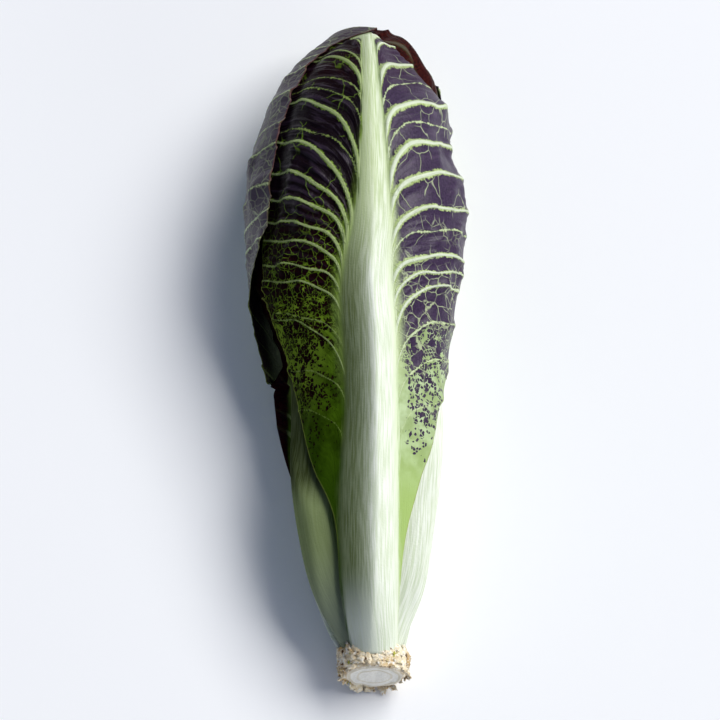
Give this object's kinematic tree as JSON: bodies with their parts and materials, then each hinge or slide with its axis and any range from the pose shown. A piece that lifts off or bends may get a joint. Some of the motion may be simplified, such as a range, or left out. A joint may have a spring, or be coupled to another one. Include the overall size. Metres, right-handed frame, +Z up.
{
  "type": "treviso radicchio",
  "caption": "Long head of purple chicory leaves with white midribs on a short cut stem, lying on its side.",
  "frame": {"origin": "centre of the bounding box's underside, on the surface that the head lies on", "axes": "+Z up, +Y along the head from the cut stem to the leaf tips, +X to the right as seen from the stem end"},
  "size_m": [0.0799, 0.2405, 0.0598],
  "materials": {
    "front_leaf": "satin, waxy leaf, purple with pale veins, green low down, white midrib",
    "outer_leaf": "satin, waxy leaf, purple with pale veins, white midrib",
    "inner_leaf": "satin, waxy leaf, purple with a white midrib",
    "stem": "matt, moist cut face with a browned ragged rim"
  },
  "bodies": {
    "root": {"leaf_01_outer_left": "outer_leaf", "leaf_02_front": "front_leaf", "leaf_03_outer_right": "outer_leaf", "leaf_04_left": "outer_leaf", "leaf_05_right": "outer_leaf", "leaf_06_back": "outer_leaf", "leaf_07_inner": "inner_leaf", "leaf_08_inner": "inner_leaf", "leaf_09_inner": "inner_leaf", "leaf_10_inner": "inner_leaf", "leaf_11_inner": "inner_leaf", "leaf_12_inner": "inner_leaf", "leaf_13_inner": "inner_leaf", "leaf_14_inner": "inner_leaf", "leaf_15_inner": "inner_leaf", "leaf_16_inner": "inner_leaf", "stem": "stem"}
  },
  "joints": []
}
